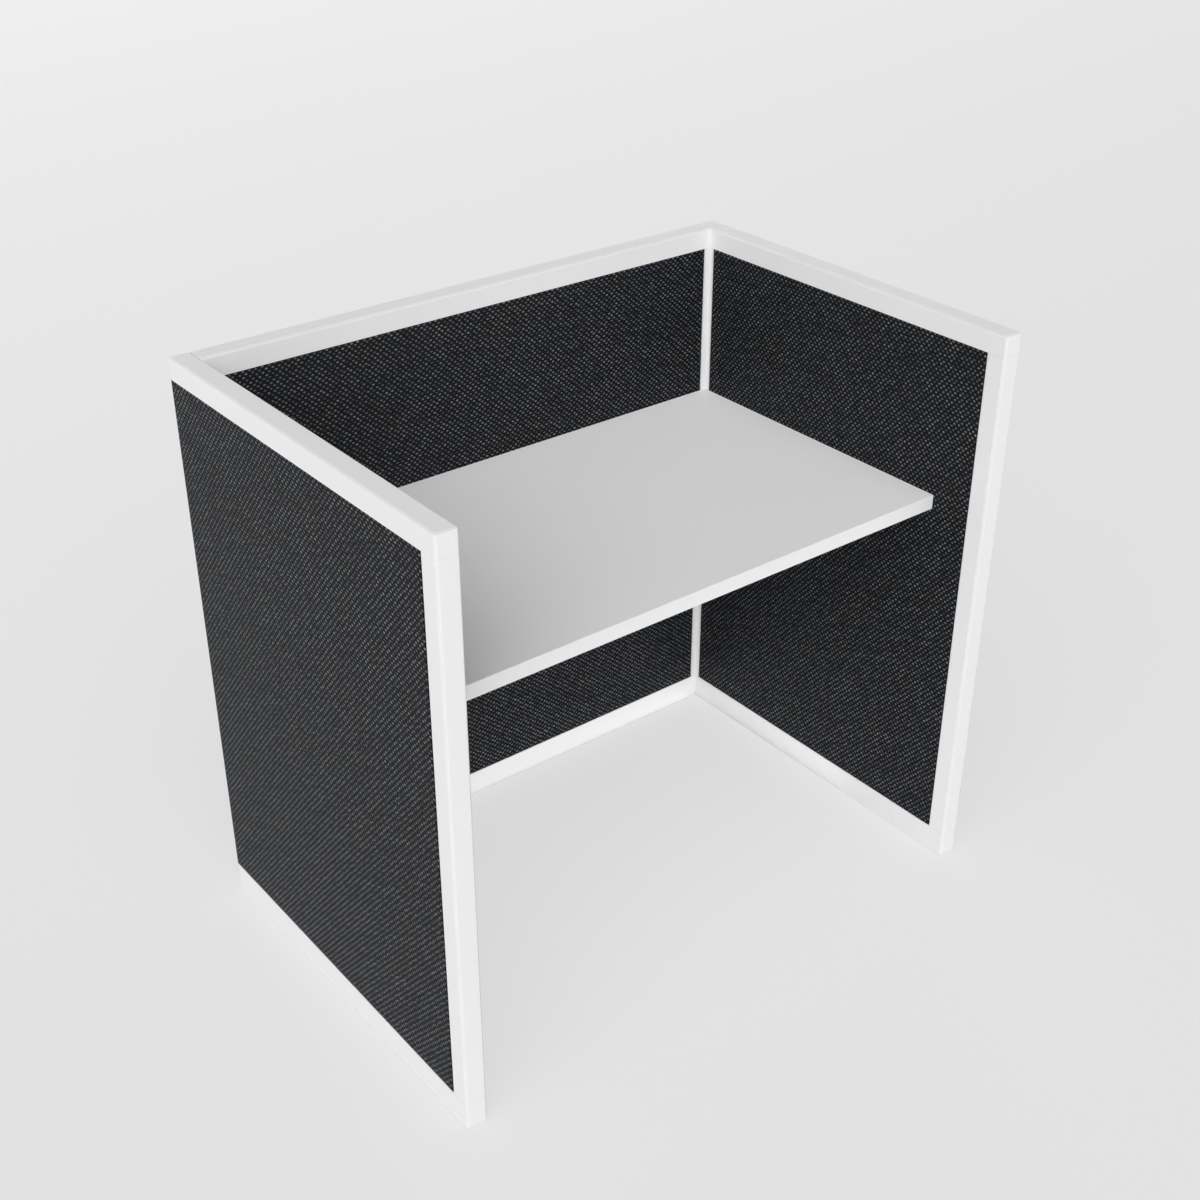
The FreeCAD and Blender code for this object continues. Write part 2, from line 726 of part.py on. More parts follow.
doc.recompute()
failed = [item.Name for item in doc.Objects if {"Invalid", "Error"} & set(item.State)]
failed += [name for name, node in nodes.items() if node.Shape.isNull() or not node.Shape.isValid()]
if failed:
    raise RuntimeError(f"these pieces failed: {failed}")
os.makedirs("parts", exist_ok=True)
for name, node in nodes.items():
    node.Shape.exportStep(f"parts/{name}.step")
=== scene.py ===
import json
import math

import bmesh
import bpy
from mathutils import Vector
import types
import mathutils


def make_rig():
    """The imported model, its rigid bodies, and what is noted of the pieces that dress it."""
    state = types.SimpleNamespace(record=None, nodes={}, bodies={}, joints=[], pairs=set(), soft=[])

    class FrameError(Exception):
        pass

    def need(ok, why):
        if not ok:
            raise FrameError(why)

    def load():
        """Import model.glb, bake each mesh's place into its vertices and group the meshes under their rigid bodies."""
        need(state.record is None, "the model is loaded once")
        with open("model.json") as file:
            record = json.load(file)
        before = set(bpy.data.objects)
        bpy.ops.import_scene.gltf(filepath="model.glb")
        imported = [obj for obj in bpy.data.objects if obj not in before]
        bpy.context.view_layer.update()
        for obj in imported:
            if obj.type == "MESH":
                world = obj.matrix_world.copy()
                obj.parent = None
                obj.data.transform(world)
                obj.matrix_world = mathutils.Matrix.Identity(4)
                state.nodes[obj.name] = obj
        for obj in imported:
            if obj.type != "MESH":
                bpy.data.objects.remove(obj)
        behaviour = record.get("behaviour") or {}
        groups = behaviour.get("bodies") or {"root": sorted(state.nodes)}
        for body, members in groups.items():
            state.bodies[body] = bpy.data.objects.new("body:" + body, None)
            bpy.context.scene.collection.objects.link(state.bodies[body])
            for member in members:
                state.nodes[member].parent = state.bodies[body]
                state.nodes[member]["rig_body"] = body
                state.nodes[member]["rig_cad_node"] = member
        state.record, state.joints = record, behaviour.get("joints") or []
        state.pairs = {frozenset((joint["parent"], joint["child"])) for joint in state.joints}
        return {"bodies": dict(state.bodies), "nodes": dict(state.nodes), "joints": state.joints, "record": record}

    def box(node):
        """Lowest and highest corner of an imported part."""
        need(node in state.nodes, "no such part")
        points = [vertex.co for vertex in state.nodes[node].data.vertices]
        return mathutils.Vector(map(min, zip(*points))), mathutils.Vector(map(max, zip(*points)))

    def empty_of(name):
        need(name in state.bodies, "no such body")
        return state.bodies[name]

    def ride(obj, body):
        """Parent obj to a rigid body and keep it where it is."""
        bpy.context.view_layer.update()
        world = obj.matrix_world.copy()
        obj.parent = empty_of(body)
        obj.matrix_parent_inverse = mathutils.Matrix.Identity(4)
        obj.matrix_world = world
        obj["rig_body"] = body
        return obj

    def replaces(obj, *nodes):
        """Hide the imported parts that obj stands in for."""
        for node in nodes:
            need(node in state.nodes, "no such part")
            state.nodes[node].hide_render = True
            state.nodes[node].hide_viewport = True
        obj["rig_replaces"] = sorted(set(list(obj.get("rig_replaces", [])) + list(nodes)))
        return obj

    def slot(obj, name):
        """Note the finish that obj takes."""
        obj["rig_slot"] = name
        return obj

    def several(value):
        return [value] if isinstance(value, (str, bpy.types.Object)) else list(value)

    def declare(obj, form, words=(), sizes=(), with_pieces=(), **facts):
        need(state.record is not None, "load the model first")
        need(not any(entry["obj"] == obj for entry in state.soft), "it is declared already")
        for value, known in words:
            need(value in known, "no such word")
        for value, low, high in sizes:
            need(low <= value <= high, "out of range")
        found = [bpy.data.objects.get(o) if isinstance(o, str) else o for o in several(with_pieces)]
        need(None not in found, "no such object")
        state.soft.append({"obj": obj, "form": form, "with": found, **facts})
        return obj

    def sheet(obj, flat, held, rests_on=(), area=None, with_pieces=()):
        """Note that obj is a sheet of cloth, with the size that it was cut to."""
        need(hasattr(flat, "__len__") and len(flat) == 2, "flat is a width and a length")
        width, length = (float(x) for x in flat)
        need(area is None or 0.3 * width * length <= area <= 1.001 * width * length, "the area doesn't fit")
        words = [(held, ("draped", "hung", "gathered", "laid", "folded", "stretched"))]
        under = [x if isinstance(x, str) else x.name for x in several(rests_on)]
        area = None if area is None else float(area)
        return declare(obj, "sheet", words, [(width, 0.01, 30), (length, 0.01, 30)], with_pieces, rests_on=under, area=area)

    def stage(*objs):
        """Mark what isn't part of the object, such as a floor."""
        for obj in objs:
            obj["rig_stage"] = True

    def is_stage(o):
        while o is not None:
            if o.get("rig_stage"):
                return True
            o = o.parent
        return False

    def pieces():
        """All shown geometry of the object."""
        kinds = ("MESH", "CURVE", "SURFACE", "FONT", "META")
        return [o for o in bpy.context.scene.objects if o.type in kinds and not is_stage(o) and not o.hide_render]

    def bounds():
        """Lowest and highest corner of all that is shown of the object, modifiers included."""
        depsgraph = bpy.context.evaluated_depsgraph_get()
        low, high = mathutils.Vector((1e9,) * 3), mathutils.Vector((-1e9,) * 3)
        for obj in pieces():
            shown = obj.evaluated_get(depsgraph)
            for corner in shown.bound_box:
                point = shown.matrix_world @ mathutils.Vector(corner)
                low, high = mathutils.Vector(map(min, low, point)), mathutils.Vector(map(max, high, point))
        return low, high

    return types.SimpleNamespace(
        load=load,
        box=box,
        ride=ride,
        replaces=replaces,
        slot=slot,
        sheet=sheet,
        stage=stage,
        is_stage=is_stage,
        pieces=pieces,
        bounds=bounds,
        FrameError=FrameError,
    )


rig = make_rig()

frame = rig.load()
cad_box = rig.bounds()

MM = 0.001
BODY = "workstation"
QUARTER_TURN = math.pi / 2


# Shader sums

# How far a normal leans to its nearest axis: midway round an edge, and almost on a flat
ROUND_AND_FLAT = (0.72, 0.98)
# The sockets of a Mix node that blends colours
MIX_SHARE, MIX_FIRST, MIX_SECOND, MIX_RESULT = 0, 6, 7, 2


class Value:
    """A socket's value over a surface. Arithmetic on it adds Math nodes beside it."""

    def __init__(self, nodes, socket):
        self.nodes = nodes
        self.socket = socket

    def math(self, operation, *values):
        inputs = dict(enumerate(values))
        return self.nodes.node("ShaderNodeMath", {"operation": operation}, inputs)

    def __add__(self, other):
        return self.math("ADD", self, other)

    def __radd__(self, other):
        return self.math("ADD", other, self)

    def __sub__(self, other):
        return self.math("SUBTRACT", self, other)

    def __rsub__(self, other):
        return self.math("SUBTRACT", other, self)

    def __mul__(self, other):
        return self.math("MULTIPLY", self, other)

    def __rmul__(self, other):
        return self.math("MULTIPLY", other, self)

    def __truediv__(self, other):
        return self.math("DIVIDE", self, other)

    def __pow__(self, other):
        return self.math("POWER", self, other)

    def __mod__(self, other):
        return self.math("FLOORED_MODULO", self, other)

    def __abs__(self):
        return self.math("ABSOLUTE", self)

    def __round__(self):
        return self.math("ROUND", self)

    def most(self, other):
        return self.math("MAXIMUM", self, other)


class Nodes:
    """The shader nodes of a material or a world."""

    def __init__(self, tree):
        self.tree = tree

    def node(self, kind, settings=None, inputs=None, output=0):
        made = self.tree.nodes.new(kind)
        for name, setting in (settings or {}).items():
            setattr(made, name, setting)
        for name, value in (inputs or {}).items():
            self.feed(made.inputs[name], value)
        return Value(self, made.outputs[output])

    def feed(self, socket, value):
        if isinstance(value, Value):
            self.tree.links.new(value.socket, socket)
        else:
            socket.default_value = value

    def place(self):
        return self.node("ShaderNodeTexCoord", output="Object")

    def parts(self, vector, axes="XYZ"):
        inputs = {"Vector": vector}
        return [self.node("ShaderNodeSeparateXYZ", inputs=inputs, output=axis) for axis in axes]

    def rounded_edge(self):
        """One along a rounded edge, and nought on the flats of a squared piece."""
        x, y, z = self.parts(self.node("ShaderNodeNewGeometry", output="Normal"))
        flatness = abs(x).most(abs(y)).most(abs(z))
        return self.span(flatness, 1.0, 0.0, *ROUND_AND_FLAT)

    def seen(self):
        """One where the eye sees this directly, in a mirror or through glass."""
        rays = ("Is Camera Ray", "Is Glossy Ray", "Is Transmission Ray")
        camera, glossy, through = [self.node("ShaderNodeLightPath", output=ray) for ray in rays]
        return camera + glossy + through

    def vector(self, *parts):
        return self.node("ShaderNodeCombineXYZ", inputs=dict(enumerate(parts)))

    def noise(self, vector, scale, detail=2.0, roughness=0.5):
        inputs = {"Vector": vector, "Scale": scale, "Detail": detail, "Roughness": roughness}
        return self.node("ShaderNodeTexNoise", inputs=inputs)

    def streaks(self, vector, scales, detail=2.0, roughness=0.5):
        """Noise that is drawn out, with a scale for each axis."""
        stretched = self.node("ShaderNodeMapping", inputs={"Vector": vector, "Scale": scales})
        return self.noise(stretched, 1.0, detail, roughness)

    def span(self, value, low, high, from_low=0.0, from_high=1.0):
        """Map a range of a value to another range, without going outside it."""
        inputs = {"Value": value, "From Min": from_low, "From Max": from_high}
        inputs |= {"To Min": low, "To Max": high}
        return self.node("ShaderNodeMapRange", {"clamp": True}, inputs)

    def mix(self, share, first, second):
        """Blend two colours."""
        inputs = {MIX_SHARE: share, MIX_FIRST: as_colour(first), MIX_SECOND: as_colour(second)}
        return self.node("ShaderNodeMix", {"data_type": "RGBA"}, inputs, MIX_RESULT)

    def bump(self, height, distance, strength):
        inputs = {"Height": height, "Distance": distance, "Strength": strength}
        return self.node("ShaderNodeBump", inputs=inputs)


class Finish(Nodes):
    """A material and the nodes that vary it over a surface."""

    def __init__(self, name):
        self.material = bpy.data.materials.new(name)
        self.material.use_nodes = True
        super().__init__(self.material.node_tree)
        self.surface = self.tree.nodes["Principled BSDF"]

    def set(self, **inputs):
        """Set the shader's own sockets, named with underscores for spaces."""
        for name, value in inputs.items():
            self.feed(self.surface.inputs[name.replace("_", " ")], value)
        return self


def as_colour(colour):
    return colour if isinstance(colour, Value) else (*colour, 1.0)


# Powder coat. Here and below, a noise's scale is in cells a metre, and a noise runs from 0 to 1

FRAME_WHITE = (0.86, 0.86, 0.86)
FRAME_SHADE = (0.84, 0.84, 0.84)
# Painted shade: rounded edges are tinted darker than the faces, to dim their highlight
FRAME_EDGE_PAINTED_SHADE = (0.66, 0.66, 0.655)
PAINT_DRIFT = 3.0
PAINT_PEEL = 900.0
PAINT_HANDLING = 14.0
HANDLED_RANGE = (0.35, 0.7)
PAINT_ROUGHNESS = (0.6, 0.7)
PEEL_ROUGHNESS = 0.06
PEEL_DEPTH = 0.03 * MM
PEEL_STRENGTH = 0.35
# How much of the painted edge shade shows, uneven in patches
PAINTED_SHADE_SHARE = (0.7, 1.0)
PAINT_GLOSS = 0.12


def powder_coat(name, colour, shade, edge_painted_shade):
    """Satin powder coat: orange peel, drifts in tone, handled patches, and painted shade on rounded edges."""
    finish = Finish(name)
    place = finish.place()
    drift = finish.noise(place, PAINT_DRIFT)
    peel = finish.noise(place, PAINT_PEEL, detail=3.0)
    handled = finish.noise(place, PAINT_HANDLING, detail=4.0)
    gloss = finish.span(handled, *PAINT_ROUGHNESS, *HANDLED_RANGE) + PEEL_ROUGHNESS * peel
    # Painted shade: a darker colour along the rounded edges, a little uneven in patches
    painted_edge_shade = finish.rounded_edge() * finish.span(handled, *PAINTED_SHADE_SHARE, *HANDLED_RANGE)
    return finish.set(
        Base_Color=finish.mix(painted_edge_shade, finish.mix(drift, colour, shade), edge_painted_shade),
        Roughness=gloss,
        Specular_IOR_Level=PAINT_GLOSS,
        Normal=finish.bump(peel, PEEL_DEPTH, PEEL_STRENGTH),
    ).material


# Melamine

TOP_WHITE = (0.85, 0.85, 0.85)
TOP_SHADE = (0.83, 0.83, 0.83)
PAPER_DRIFT = 2.2
PEARL_GRAIN = 1400.0
WIPE_MARKS = (5.0, 16.0, 5.0)
WIPED_RANGE = (0.3, 0.7)
MELAMINE_ROUGHNESS = (0.46, 0.56)
PEARL_ROUGHNESS = 0.05
PEARL_DEPTH = 0.02 * MM
PEARL_STRENGTH = 0.3
MELAMINE_GLOSS = 0.25


def melamine(name, colour, shade):
    """The worktop's decor paper under melamine: a fine pearl texture and an uneven sheen."""
    finish = Finish(name)
    place = finish.place()
    drift = finish.noise(place, PAPER_DRIFT, detail=3.0)
    pearl = finish.noise(place, PEARL_GRAIN)
    wiped = finish.streaks(place, WIPE_MARKS, detail=4.0)
    sheen = finish.span(wiped, *MELAMINE_ROUGHNESS, *WIPED_RANGE) + PEARL_ROUGHNESS * pearl
    return finish.set(
        Base_Color=finish.mix(drift, colour, shade),
        Roughness=sheen,
        Specular_IOR_Level=MELAMINE_GLOSS,
        Normal=finish.bump(pearl, PEARL_DEPTH, PEARL_STRENGTH),
    ).material


# Edge band

DRAG_LINES = (6.0, 900.0, 900.0)
BAND_DRIFT = 5.0
BAND_ROUGHNESS = (0.34, 0.46)
DRAG_DEPTH = 0.02 * MM
DRAG_STRENGTH = 0.3


def edge_band(name, colour, shade):
    """The worktop's front band: fine lengthwise drag lines from the extruder."""
    finish = Finish(name)
    place = finish.place()
    drawn = finish.streaks(place, DRAG_LINES)
    drift = finish.noise(place, BAND_DRIFT)
    return finish.set(
        Base_Color=finish.mix(drift, colour, shade),
        Roughness=finish.span(drawn, *BAND_ROUGHNESS),
        Normal=finish.bump(drawn, DRAG_DEPTH, DRAG_STRENGTH),
    ).material


# Panel cloth, whose places and noise scales are counted in yarns

COOL_YARN = (0.118, 0.134, 0.165)
WARM_YARN = (0.136, 0.144, 0.154)
WARP_DARK = (0.003, 0.0033, 0.0041)
# Painted shade in the gaps between warp yarns, darker than the warp's own colour
GAP_PAINTED_SHADE = (0.0006, 0.0006, 0.0008)
FLOAT_REACH = 0.5
FLOAT_RADIUS = 0.35
FLOAT_SLIP = 0.14
FLOAT_FADE = (0.1, 1.2)
CROWN_FADE = (0.12, 0.48)
WEFT_FIBRES = (2.0, 14.0, 1.0)
WARP_FIBRES = (14.0, 2.0, 1.0)
FIBRE_NOISE = {"detail": 3.0, "roughness": 0.6}
FIBRE_RANGE = (0.3, 0.7)
SWELL_ALONG = 0.23
SWELL_APART = 3.7
SWELL_RANGE = (0.3, 0.7)
DYE_DRIFT = 0.07
DYE_RANGE = (0.36, 0.64)
CROSSING_TONE = (0.45, 1.4)
SWELL_TONE = (0.6, 1.4)
FIBRE_TONE = (0.6, 1.4)
CROWN_TONE = (0.0, 1.5)
CROWN_RANGE = (0.35, 0.75)
WEFT_HEIGHT, WEFT_FIBRE_HEIGHT = 0.7, 0.3
WARP_HEIGHT, WARP_FIBRE_HEIGHT = 0.4, 0.25
CLOTH_DEPTH = 0.6 * MM
CLOTH_STRENGTH = 0.4
GROUND_TO_FLOAT_ROUGHNESS = (0.7, 0.45)
CLOTH_GLOSS = 0.17
CLOTH_SHEEN = 0.045
SHEEN_ROUGHNESS = 0.3


class Weave(Finish):
    """A plain weave of warp and weft, from an attribute that counts yarns across and up."""

    def __init__(self, name):
        super().__init__(name)
        counts = {"attribute_name": "weave"}
        self.yarns = self.node("ShaderNodeAttribute", counts, output="Vector")
        self.across, self.up = self.parts(self.yarns, "XY")
        self.warp_yarn = round(self.across)
        self.weft_yarn = round(self.up)
        self.weft_fibre = self.streaks(self.yarns, WEFT_FIBRES, **FIBRE_NOISE)
        self.warp_fibre = self.streaks(self.yarns, WARP_FIBRES, **FIBRE_NOISE)

    def chances(self):
        """Three chance values for each crossing, so that no two are alike."""
        crossing = {"Vector": self.vector(self.warp_yarn, self.weft_yarn)}
        flat = {"noise_dimensions": "2D"}
        return self.parts(self.node("ShaderNodeTexWhiteNoise", flat, crossing, output="Color"))

    def weft_float(self, from_warp, from_weft):
        """An oval wherever the weft passes over a warp yarn."""
        oval = (abs(from_warp) / FLOAT_REACH) ** 2.0 + (abs(from_weft) / FLOAT_RADIUS) ** 2.0
        warp_over = (self.warp_yarn + self.weft_yarn) % 2.0
        return self.span(oval, 1.0, 0.0, *FLOAT_FADE) * (1.0 - warp_over)

    def weft_colour(self, tone_chance):
        """Pale yarns that swell and thin, in a dye that drifts from cool to warm."""
        place = self.vector(self.across * SWELL_ALONG, self.weft_yarn * SWELL_APART)
        swell = self.span(self.noise(place, 1.0), *SWELL_TONE, *SWELL_RANGE)
        fibre = self.span(self.weft_fibre, *FIBRE_TONE, *FIBRE_RANGE)
        tone = self.span(tone_chance, *CROSSING_TONE) * swell * fibre
        dye = self.span(self.noise(self.yarns, DYE_DRIFT, detail=3.0), 0.0, 1.0, *DYE_RANGE)
        scaled = {"Vector": self.mix(dye, COOL_YARN, WARM_YARN), "Scale": tone}
        return self.node("ShaderNodeVectorMath", {"operation": "SCALE"}, scaled)

    def ground_colour(self, warp_crown):
        """Near-black warp, with painted shade in the gaps between yarns, so the crowns are a little lighter."""
        fibre = self.span(self.warp_fibre, *CROWN_TONE, *CROWN_RANGE)
        # Painted shade: the warp darkens from its crown into the gap between yarns
        return self.mix(warp_crown * fibre, GAP_PAINTED_SHADE, WARP_DARK)

    def relief(self, weft_float, warp_crown):
        weft = weft_float * (WEFT_HEIGHT + WEFT_FIBRE_HEIGHT * self.weft_fibre)
        warp = warp_crown * (WARP_HEIGHT + WARP_FIBRE_HEIGHT * self.warp_fibre)
        return self.bump(weft + warp, CLOTH_DEPTH, CLOTH_STRENGTH)


def panel_cloth(name):
    """Charcoal cloth with pale flecks, which lie a little out of line."""
    cloth = Weave(name)
    tone_chance, slip_chance, lift_chance = cloth.chances()
    slip = cloth.span(slip_chance, -FLOAT_SLIP, FLOAT_SLIP)
    lift = cloth.span(lift_chance, -FLOAT_SLIP, FLOAT_SLIP)
    from_warp = cloth.across - cloth.warp_yarn + slip
    from_weft = cloth.up - cloth.weft_yarn + lift
    weft_float = cloth.weft_float(from_warp, from_weft)
    warp_crown = cloth.span(abs(from_warp), 1.0, 0.0, *CROWN_FADE)
    ground = cloth.ground_colour(warp_crown)
    return cloth.set(
        Base_Color=cloth.mix(weft_float, ground, cloth.weft_colour(tone_chance)),
        Roughness=cloth.span(weft_float, *GROUND_TO_FLOAT_ROUGHNESS),
        Specular_IOR_Level=CLOTH_GLOSS,
        Normal=cloth.relief(weft_float, warp_crown),
        Sheen_Weight=CLOTH_SHEEN,
        Sheen_Roughness=SHEEN_ROUGHNESS,
    ).material


# Fibreboard

BOARD_FIBRES = 420.0
BOARD_FIBRE_RANGE = (0.3, 0.7)
BOARD_DARK = (0.36, 0.23, 0.12)
BOARD_PALE = (0.56, 0.4, 0.24)
BOARD_CLOUDS = 12.0
BOARD_CLOUD_SHARE = (0.0, 0.35)
BOARD_CLOUD = (0.44, 0.3, 0.17)
BOARD_ROUGHNESS = 0.85


def fibreboard(name):
    """Raw fibreboard: matted brown fibres."""
    finish = Finish(name)
    place = finish.place()
    fibres = finish.noise(place, BOARD_FIBRES, detail=5.0, roughness=0.7)
    clouds = finish.noise(place, BOARD_CLOUDS, detail=3.0)
    matted = finish.mix(finish.span(fibres, 0.0, 1.0, *BOARD_FIBRE_RANGE), BOARD_DARK, BOARD_PALE)
    return finish.set(
        Base_Color=finish.mix(finish.span(clouds, *BOARD_CLOUD_SHARE), matted, BOARD_CLOUD),
        Roughness=BOARD_ROUGHNESS,
    ).material


# Mineral wool

WOOL_STRANDS = (120.0, 120.0, 420.0)
WOOL_STRAND_RANGE = (0.3, 0.7)
WOOL_DARK = (0.34, 0.28, 0.12)
WOOL_PALE = (0.66, 0.57, 0.32)
WOOL_TUFTS = 40.0
WOOL_TUFT_SHARE = (0.0, 0.5)
WOOL_TUFT_RANGE = (0.35, 0.7)
WOOL_TUFT = (0.5, 0.41, 0.2)
WOOL_ROUGHNESS = 0.95


def mineral_wool(name):
    """A felted batt of yellow-brown mineral fibres."""
    finish = Finish(name)
    place = finish.place()
    strands = finish.streaks(place, WOOL_STRANDS, detail=5.0, roughness=0.7)
    tufts = finish.noise(place, WOOL_TUFTS, detail=4.0)
    felted = finish.mix(finish.span(strands, 0.0, 1.0, *WOOL_STRAND_RANGE), WOOL_DARK, WOOL_PALE)
    tufted = finish.span(tufts, *WOOL_TUFT_SHARE, *WOOL_TUFT_RANGE)
    return finish.set(
        Base_Color=finish.mix(tufted, felted, WOOL_TUFT),
        Roughness=WOOL_ROUGHNESS,
    ).material


# Galvanised steel

SPANGLE = 70.0
SPANGLE_DARK = (0.48, 0.5, 0.52)
SPANGLE_PALE = (0.66, 0.67, 0.68)
SPANGLE_ROUGHNESS = (0.34, 0.55)
SPANGLE_METAL = 0.9


def galvanised(name):
    """Hot-dip zinc with its spangle."""
    finish = Finish(name)
    cells = {"Vector": finish.place(), "Scale": SPANGLE}
    spangle = finish.node("ShaderNodeTexVoronoi", {"feature": "F1"}, cells, output="Color")
    [grain] = finish.parts(spangle, "X")
    return finish.set(
        Base_Color=finish.mix(grain, SPANGLE_DARK, SPANGLE_PALE),
        Metallic=SPANGLE_METAL,
        Roughness=finish.span(grain, *SPANGLE_ROUGHNESS),
    ).material


# Zinc plate

ZINC = (0.66, 0.66, 0.64)
ZINC_DULLING = 160.0
DULLED_RANGE = (0.4, 0.7)
BRIGHT_TO_DULL_METAL = (1.0, 0.7)
ZINC_ROUGHNESS = 0.36


def zinc_plate(name):
    """Bright zinc plate on small hardware, dulled in patches."""
    finish = Finish(name)
    dull = finish.noise(finish.place(), ZINC_DULLING, detail=3.0)
    return finish.set(
        Base_Color=as_colour(ZINC),
        Metallic=finish.span(dull, *BRIGHT_TO_DULL_METAL, *DULLED_RANGE),
        Roughness=ZINC_ROUGHNESS,
    ).material


# Nylon

BLACK_NYLON = (0.026, 0.026, 0.027)
MOULD_POLISH = 30.0
POLISHED_RANGE = (0.35, 0.7)
POLISHED_COAT = (0.0, 0.25)
COAT_ROUGHNESS = 0.3
NYLON_ROUGHNESS = 0.5


def moulded_nylon(name):
    """Black moulded nylon, with a faint shine where the mould was polished."""
    finish = Finish(name)
    polished = finish.noise(finish.place(), MOULD_POLISH, detail=3.0)
    return finish.set(
        Base_Color=as_colour(BLACK_NYLON),
        Roughness=NYLON_ROUGHNESS,
        Coat_Weight=finish.span(polished, *POLISHED_COAT, *POLISHED_RANGE),
        Coat_Roughness=COAT_ROUGHNESS,
    ).material


# The finish of each slot

CLOTH = panel_cloth("panel_cloth")
FINISHES = {
    # Both powder coats darken their rounded edges as painted shade
    "frame_paint": powder_coat("frame_powder_coat", FRAME_WHITE, FRAME_SHADE, FRAME_EDGE_PAINTED_SHADE),
    "bracket_paint": powder_coat("bracket_powder_coat", TOP_WHITE, TOP_SHADE, FRAME_EDGE_PAINTED_SHADE),
    "worktop_laminate": melamine("worktop_melamine", TOP_WHITE, TOP_SHADE),
    "worktop_band": edge_band("worktop_edge_band", FRAME_WHITE, FRAME_SHADE),
    "tile_board": fibreboard("tile_fibreboard"),
    "core_wool": mineral_wool("core_mineral_wool"),
    "cross_rail_steel": galvanised("cross_rail_galvanised"),
    "fastener_steel": zinc_plate("fastener_zinc"),
    "foot_steel": zinc_plate("foot_zinc"),
    "clip_nylon": moulded_nylon("clip_nylon"),
    "tile_fabric": CLOTH,
}


def dress_cad_nodes():
    """Give every piece of the frame the finish of its slot."""
    for part in frame["record"]["subparts"]:
        for slot in frame["nodes"][part["node"]].material_slots:
            slot.material = FINISHES[part["material_slot"]]


# Cloth covers of the tiles

FINE_PITCH = 5.5 * MM
COARSE_PITCH = 6.25 * MM
CLOTH_BEND = 2.0 * MM
BEND_STEPS = 3
FLOAT_RISE = 0.25 * MM
GRID_HALF = 0.5


class Tile:
    """A tile's place, the way it faces, and how many yarns its cloth has across and up."""

    def __init__(self, node, out, across_pitch, up_pitch):
        self.node = node
        self.out = Vector(out)
        low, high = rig.box(node)
        self.middle = (low + high) / 2
        size = high - low
        self.along = Vector((0, 1, 0)) if self.out.x else Vector((1, 0, 0))
        self.depth = abs(size.dot(self.out))
        self.face_width = size.dot(self.along) - 2 * CLOTH_BEND
        self.face_height = size.z - 2 * CLOTH_BEND
        self.columns = round(self.face_width / across_pitch)
        self.rows = round(self.face_height / up_pitch)

    def point(self, across, up, back):
        """A place on the cloth, from the middle of the tile's face and back from it."""
        face = self.middle + self.out * (self.depth / 2 - back)
        return face + self.along * across + Vector((0, 0, up))

    def flat_size(self):
        """The size that the cloth was cut to, with what goes round the board's edges."""
        wrap = 2 * (self.depth - CLOTH_BEND + CLOTH_BEND * QUARTER_TURN)
        return (self.face_width + wrap, self.face_height + wrap)


TILES = (
    Tile("left_outer_fabric", (-1, 0, 0), FINE_PITCH, COARSE_PITCH),
    Tile("left_inner_fabric", (1, 0, 0), FINE_PITCH, COARSE_PITCH),
    Tile("right_outer_fabric", (1, 0, 0), FINE_PITCH, COARSE_PITCH),
    Tile("right_inner_fabric", (-1, 0, 0), FINE_PITCH, COARSE_PITCH),
    Tile("back_outer_fabric", (0, 1, 0), COARSE_PITCH, FINE_PITCH),
    Tile("back_inner_fabric", (0, -1, 0), COARSE_PITCH, FINE_PITCH),
)


def make_cover(tile):
    """Cloth stretched over a board, with its edges turned back."""
    bm = bmesh.new()
    yarns = bm.verts.layers.float_vector.new("weave")
    sides = bm.verts.layers.float_vector.new("sides")
    weave_face(bm, tile, yarns, sides)
    turn_edges_back(bm, tile, yarns, sides)
    lay_flat_map(bm, tile, yarns)
    for vert in bm.verts:
        vert.co = tile.point(*vert.co)
    bm.verts.layers.float_vector.remove(sides)
    bmesh.ops.recalc_face_normals(bm, faces=bm.faces)
    turn_outwards(bm, tile.out)
    for face in bm.faces:
        face.smooth = True
    cover = add_piece(tile.node.replace("fabric", "cover"), bm, CLOTH)
    board = tile.node.replace("fabric", "board")
    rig.ride(cover, BODY)
    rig.replaces(cover, tile.node)
    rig.slot(cover, "tile_fabric")
    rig.sheet(cover, flat=tile.flat_size(), held="stretched", rests_on=[board])


def weave_face(bm, tile, yarns, sides):
    """The face, with a vertex at each crossing. Where the weft floats, it stands out."""
    bmesh.ops.create_grid(bm, x_segments=tile.columns, y_segments=tile.rows, size=GRID_HALF)
    for vert in bm.verts:
        column = round((vert.co.x + GRID_HALF) * tile.columns)
        row = round((vert.co.y + GRID_HALF) * tile.rows)
        side = Vector((edge_side(column, tile.columns), edge_side(row, tile.rows), 0))
        lowered = (column + row) % 2 == 1 or side.length > 0
        back = FLOAT_RISE if lowered else 0.0
        vert.co = (vert.co.x * tile.face_width, vert.co.y * tile.face_height, back)
        vert[yarns] = (column, row, 0)
        vert[sides] = side


def edge_side(index, last):
    return -1 if index == 0 else 1 if index == last else 0


def turn_edges_back(bm, tile, yarns, sides):
    """Take the cloth round the board's edges, and straight back along them."""
    across_pitch = tile.face_width / tile.columns
    up_pitch = tile.face_height / tile.rows
    rim = [edge for edge in bm.edges if edge.is_boundary]
    for outward, back in bend_rings() + [(0.0, tile.depth - CLOTH_BEND - FLOAT_RISE)]:
        extruded = bmesh.ops.extrude_edge_only(bm, edges=rim)["geom"]
        length = math.hypot(outward, back)
        for vert in of_kind(extruded, bmesh.types.BMVert):
            side = Vector(vert[sides])
            vert.co += Vector((side.x * outward, side.y * outward, back))
            vert[yarns] += Vector((side.x * length / across_pitch, side.y * length / up_pitch, 0))
        rim = [edge for edge in of_kind(extruded, bmesh.types.BMEdge) if edge.is_boundary]


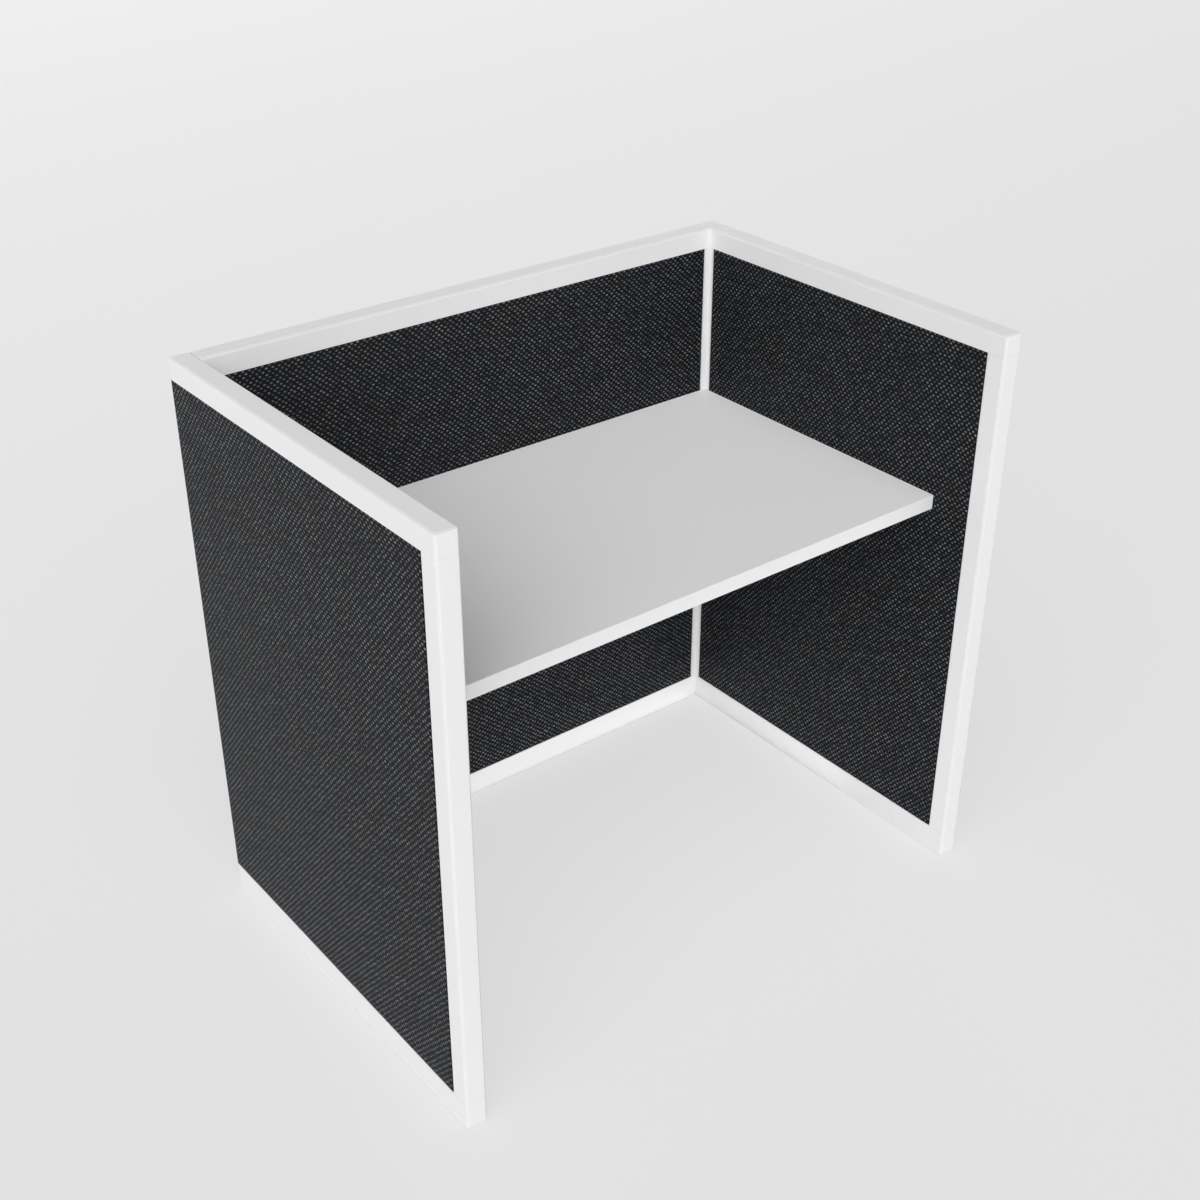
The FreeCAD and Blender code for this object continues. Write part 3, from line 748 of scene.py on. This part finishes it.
def bend_rings():
    """Outward and backward steps that take the cloth round the board's edge."""
    turns = [QUARTER_TURN * step / BEND_STEPS for step in range(BEND_STEPS + 1)]
    arc = [(CLOTH_BEND * math.sin(turn), CLOTH_BEND * (1 - math.cos(turn))) for turn in turns]
    return [(b[0] - a[0], b[1] - a[1]) for a, b in zip(arc, arc[1:])]


def of_kind(items, kind):
    return [item for item in items if isinstance(item, kind)]


def lay_flat_map(bm, tile, yarns):
    """A map of the flat cut, which the face fills almost whole."""
    places = bm.loops.layers.uv.new("OFBake")
    reach = max(vert[yarns].x for vert in bm.verts) - tile.columns
    rise = max(vert[yarns].y for vert in bm.verts) - tile.rows
    for face in bm.faces:
        for loop in face.loops:
            yarn = loop.vert[yarns]
            across = (yarn.x + reach) / (tile.columns + 2 * reach)
            up = (yarn.y + rise) / (tile.rows + 2 * rise)
            loop[places].uv = (across, up)


def turn_outwards(bm, out):
    """Make the cloth's good side face out of the panel."""
    facing = sum((face.normal * face.calc_area() for face in bm.faces), Vector())
    if facing.dot(out) < 0:
        bmesh.ops.reverse_faces(bm, faces=bm.faces)


def add_piece(name, bm, material):
    mesh = bpy.data.meshes.new(name)
    bm.to_mesh(mesh)
    bm.free()
    mesh.materials.append(material)
    piece = bpy.data.objects.new(name, mesh)
    bpy.context.collection.objects.link(piece)
    return piece


# Studio

# Angles of the camera are in radians, its lens and sensor in millimetres
CAMERA_PLACE = (-1.635, -2.070, 2.1545)
CAMERA_TURN = 0.6668
CAMERA_TILT = 0.5261
CAMERA_LENS = 50.0
CAMERA_SENSOR = 36.0
FLOOR_HALF = 40.0
PAPER_TONE = (0.86, 0.86, 0.86)
PAPER_ROUGHNESS = 0.9
PAPER_GLOSS = 0.2
GLOW_SHARE = 0.78
NEAR_GLOW = (0.79, 0.79, 0.79)
FAR_GLOW = (0.92, 0.92, 0.92)
NEAR_PLACE = 0.5
FAR_PLACE = 8.7
FAR_LEAN = 0.25
BACKDROP_TONE = (1.0, 1.0, 1.0)
BACKDROP_LEVEL = 0.8
# The bearing, height and breadth of each lamp are in degrees, then comes its strength
LAMPS = (
    ("key_lamp", 226.0, 8.0, 105.0, 1.9),
    ("high_lamp", 220.0, 50.0, 70.0, 1.85),
    ("left_lamp", 295.0, 12.0, 110.0, 0.42),
    ("right_lamp", 158.0, 12.0, 110.0, 0.36),
    ("back_lamp", 45.0, 5.0, 40.0, 1.0),
)
KNEE_LAMP_SIZE = (1.08, 0.48)
KNEE_LAMP_PLACE = (0.0, 0.115, 2.0 * MM)
KNEE_LAMP_POWER = 1.0


def add_camera():
    camera = bpy.data.cameras.new("camera")
    camera.lens = CAMERA_LENS
    camera.sensor_width = CAMERA_SENSOR
    holder = bpy.data.objects.new("camera", camera)
    holder.location = CAMERA_PLACE
    holder.rotation_euler = (QUARTER_TURN - CAMERA_TILT, 0, -CAMERA_TURN)
    bpy.context.collection.objects.link(holder)
    bpy.context.scene.camera = holder


def studio_floor():
    """A pale light table: it keeps shadows, glows more far off, and is clear from below."""
    finish = Finish("studio_floor")
    finish.set(
        Base_Color=as_colour(PAPER_TONE),
        Roughness=PAPER_ROUGHNESS,
        Specular_IOR_Level=PAPER_GLOSS,
    )
    x, y = finish.parts(finish.place(), "XY")
    far = finish.span(y - FAR_LEAN * x, 0.0, 1.0, NEAR_PLACE, FAR_PLACE)
    tone = finish.mix(far, NEAR_GLOW, FAR_GLOW)
    glow = finish.node("ShaderNodeEmission", inputs={"Color": tone})
    paper = Value(finish, finish.surface.outputs[0])
    top = finish.node("ShaderNodeMixShader", inputs={0: GLOW_SHARE, 1: paper, 2: glow})
    below = finish.node("ShaderNodeNewGeometry", output="Backfacing")
    clear = finish.node("ShaderNodeBsdfTransparent")
    floor = finish.node("ShaderNodeMixShader", inputs={0: below, 1: top, 2: clear})
    finish.feed(finish.tree.nodes["Material Output"].inputs["Surface"], floor)
    return finish.material


def add_floor():
    bm = bmesh.new()
    bmesh.ops.create_grid(bm, x_segments=1, y_segments=1, size=FLOOR_HALF)
    floor = add_piece("studio_floor", bm, studio_floor())
    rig.stage(floor)


def add_backdrop():
    """Pale all round to the eye. The lamps and the floor give the light."""
    world = bpy.data.worlds.new("backdrop")
    world.use_nodes = True
    nodes = Nodes(world.node_tree)
    background = world.node_tree.nodes["Background"].inputs
    nodes.feed(background["Color"], as_colour(BACKDROP_TONE))
    nodes.feed(background["Strength"], BACKDROP_LEVEL * nodes.seen())
    bpy.context.scene.world = world


def add_lamp(name, bearing, height, breadth, strength):
    """A broad lamp far off. Its bearing is clockwise from the back panel, its height up."""
    lamp = bpy.data.lights.new(name, "SUN")
    lamp.angle = math.radians(breadth)
    lamp.energy = strength
    turn, rise = math.radians(bearing), math.radians(height)
    level = math.cos(rise)
    towards = Vector((math.sin(turn) * level, math.cos(turn) * level, math.sin(rise)))
    holder = bpy.data.objects.new(name, lamp)
    holder.rotation_euler = towards.to_track_quat("Z", "Y").to_euler()
    bpy.context.collection.objects.link(holder)


def add_knee_lamp():
    """A soft lamp that lies on the floor under the worktop and shines up."""
    lamp = bpy.data.lights.new("knee_lamp", "AREA")
    lamp.shape = "RECTANGLE"
    lamp.size, lamp.size_y = KNEE_LAMP_SIZE
    lamp.energy = KNEE_LAMP_POWER
    holder = bpy.data.objects.new("knee_lamp", lamp)
    holder.location = KNEE_LAMP_PLACE
    holder.rotation_euler = (2 * QUARTER_TURN, 0, 0)
    holder.visible_camera = False
    holder.visible_glossy = False
    bpy.context.collection.objects.link(holder)


dress_cad_nodes()
for tile in TILES:
    make_cover(tile)
add_camera()
add_floor()
add_backdrop()
for lamp in LAMPS:
    add_lamp(*lamp)
add_knee_lamp()
bpy.context.scene.view_settings.view_transform = "Standard"

boxes = {"cad": cad_box, "visual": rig.bounds()}
with open("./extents.json", "w") as out:
    json.dump({name: [list(corner) for corner in box] for name, box in boxes.items()}, out)
